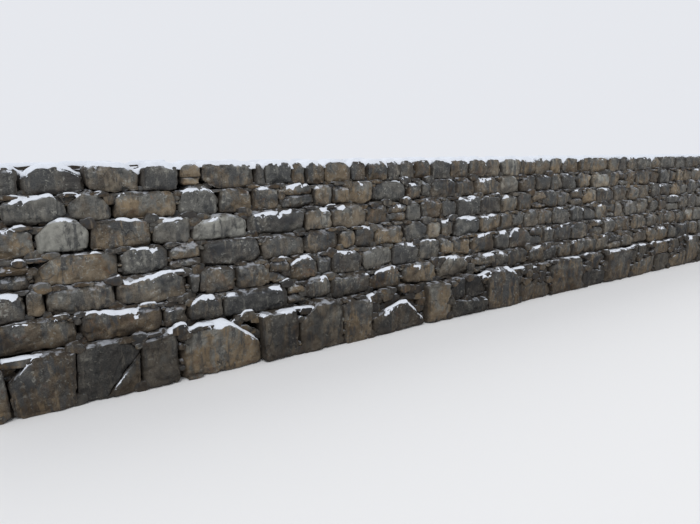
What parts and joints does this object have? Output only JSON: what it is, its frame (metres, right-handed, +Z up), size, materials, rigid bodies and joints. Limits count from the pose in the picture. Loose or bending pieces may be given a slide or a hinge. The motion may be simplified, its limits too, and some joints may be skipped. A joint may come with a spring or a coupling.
{
  "type": "dry stone retaining wall",
  "caption": "Battered dry stone retaining wall of big rough boulders in courses that step back, with open joints and pinning stones.",
  "frame": {"origin": "on the ground, under the middle of the wall's length and thickness", "axes": "+X along the wall, to the right as seen from in front of its face; +Y from the face into the bank; +Z up"},
  "size_m": [24.8, 2.28, 4],
  "materials": {
    "base_stone": "matte",
    "face_stone": "matte",
    "top_stone": "matte",
    "pinning_stone": "matte",
    "packed_rubble": "matte",
    "back_stone": "matte",
    "snow": "matte"
  },
  "bodies": {
    "root": {"base_boulders_bay_1": "base_stone", "course_2_bay_1": "face_stone", "course_3_bay_1": "face_stone", "course_4_bay_1": "face_stone", "course_5_bay_1": "face_stone", "course_6_bay_1": "face_stone", "top_course_bay_1": "top_stone", "pinning_stones_bay_1": "pinning_stone", "hearting_bay_1": "packed_rubble", "back_stones_bay_1": "back_stone", "base_boulders_bay_2": "base_stone", "course_2_bay_2": "face_stone", "course_3_bay_2": "face_stone", "course_4_bay_2": "face_stone", "course_5_bay_2": "face_stone", "course_6_bay_2": "face_stone", "top_course_bay_2": "top_stone", "pinning_stones_bay_2": "pinning_stone", "hearting_bay_2": "packed_rubble", "back_stones_bay_2": "back_stone", "base_boulders_bay_3": "base_stone", "course_2_bay_3": "face_stone", "course_3_bay_3": "face_stone", "course_4_bay_3": "face_stone", "course_5_bay_3": "face_stone", "course_6_bay_3": "face_stone", "top_course_bay_3": "top_stone", "pinning_stones_bay_3": "pinning_stone", "hearting_bay_3": "packed_rubble", "back_stones_bay_3": "back_stone", "base_boulders_bay_4": "base_stone", "course_2_bay_4": "face_stone", "course_3_bay_4": "face_stone", "course_4_bay_4": "face_stone", "course_5_bay_4": "face_stone", "course_6_bay_4": "face_stone", "top_course_bay_4": "top_stone", "pinning_stones_bay_4": "pinning_stone", "hearting_bay_4": "packed_rubble", "back_stones_bay_4": "back_stone"}
  },
  "joints": []
}
